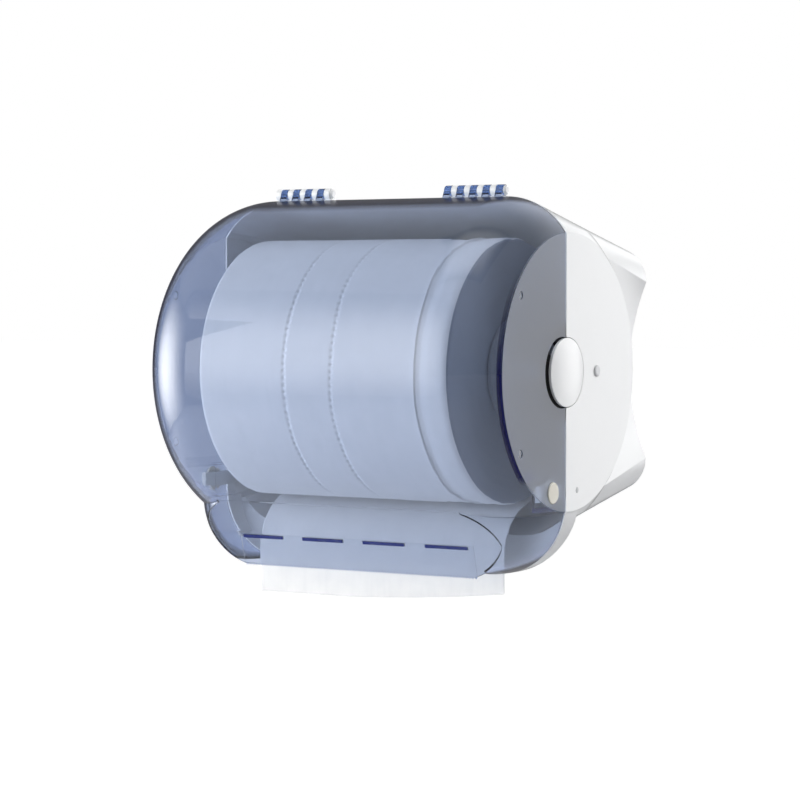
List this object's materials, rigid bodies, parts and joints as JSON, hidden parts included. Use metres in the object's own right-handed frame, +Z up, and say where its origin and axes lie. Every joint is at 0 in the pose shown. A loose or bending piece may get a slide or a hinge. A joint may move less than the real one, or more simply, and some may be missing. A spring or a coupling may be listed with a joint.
{
  "type": "wall-mounted roll dispenser",
  "caption": "Drum-shaped wall dispenser for a wide roll, with a see-through front cover hinged along its top, a toothed tear lip, end knobs and side release buttons.",
  "frame": {"origin": "middle of the flat wall face, level with the roll's axis", "axes": "+X along the roll to the right seen from the front, +Y into the wall, +Z up"},
  "size_m": [0.3892, 0.3295, 0.3936],
  "materials": {
    "blue_clear_plastic": "tinted see-through, glossy",
    "white_plastic": "glossy",
    "bar_plastic": "tinted see-through, glossy",
    "web_paper": "soft, finely embossed",
    "core_board": "matte board",
    "spindle_steel": "drawn",
    "pin_plastic": "satin",
    "hub_plastic": "satin",
    "knob_plastic": "glossy",
    "bracket_plastic": "satin",
    "screw_plastic": "glossy",
    "button_plastic": "satin",
    "latch_plastic": "satin",
    "rivet_plastic": "satin",
    "guide_plastic": "tinted, glossy"
  },
  "bodies": {
    "housing": {"rear_housing": "white_plastic", "left_hinge_pin": "pin_plastic", "right_hinge_pin": "pin_plastic", "left_roll_bracket": "bracket_plastic", "right_roll_bracket": "bracket_plastic", "bracket_screws": "screw_plastic", "left_latch_tongue": "latch_plastic", "right_latch_tongue": "latch_plastic", "latch_rivets": "rivet_plastic", "web_tail": "web_paper"},
    "cover": {"front_cover": "blue_clear_plastic", "tear_bar": "bar_plastic", "left_button_guide": "guide_plastic", "right_button_guide": "guide_plastic"},
    "roll": {"web_roll": "web_paper", "roll_core": "core_board", "spindle": "spindle_steel", "left_core_hub": "hub_plastic", "right_core_hub": "hub_plastic", "left_end_knob": "knob_plastic", "right_end_knob": "knob_plastic"},
    "left_button": {"left_release_button": "button_plastic"},
    "right_button": {"right_release_button": "button_plastic"}
  },
  "joints": [
    {"name": "cover_hinge", "type": "hinge", "parent": "housing", "child": "cover", "pos_m": [0, -0.172, 0.1692], "axis": [-1, 0, 0], "range_deg": [0, 100]},
    {"name": "roll_spin", "type": "hinge", "parent": "housing", "child": "roll", "pos_m": [0, -0.172, 0], "axis": [1, 0, 0], "continuous": true},
    {"name": "left_button_press", "type": "slide", "parent": "cover", "child": "left_button", "axis": [1, 0, 0], "range_m": [0, 0.004], "deforming": ["left_latch_tongue"]},
    {"name": "right_button_press", "type": "slide", "parent": "cover", "child": "right_button", "axis": [-1, 0, 0], "range_m": [0, 0.004], "deforming": ["right_latch_tongue"]}
  ]
}
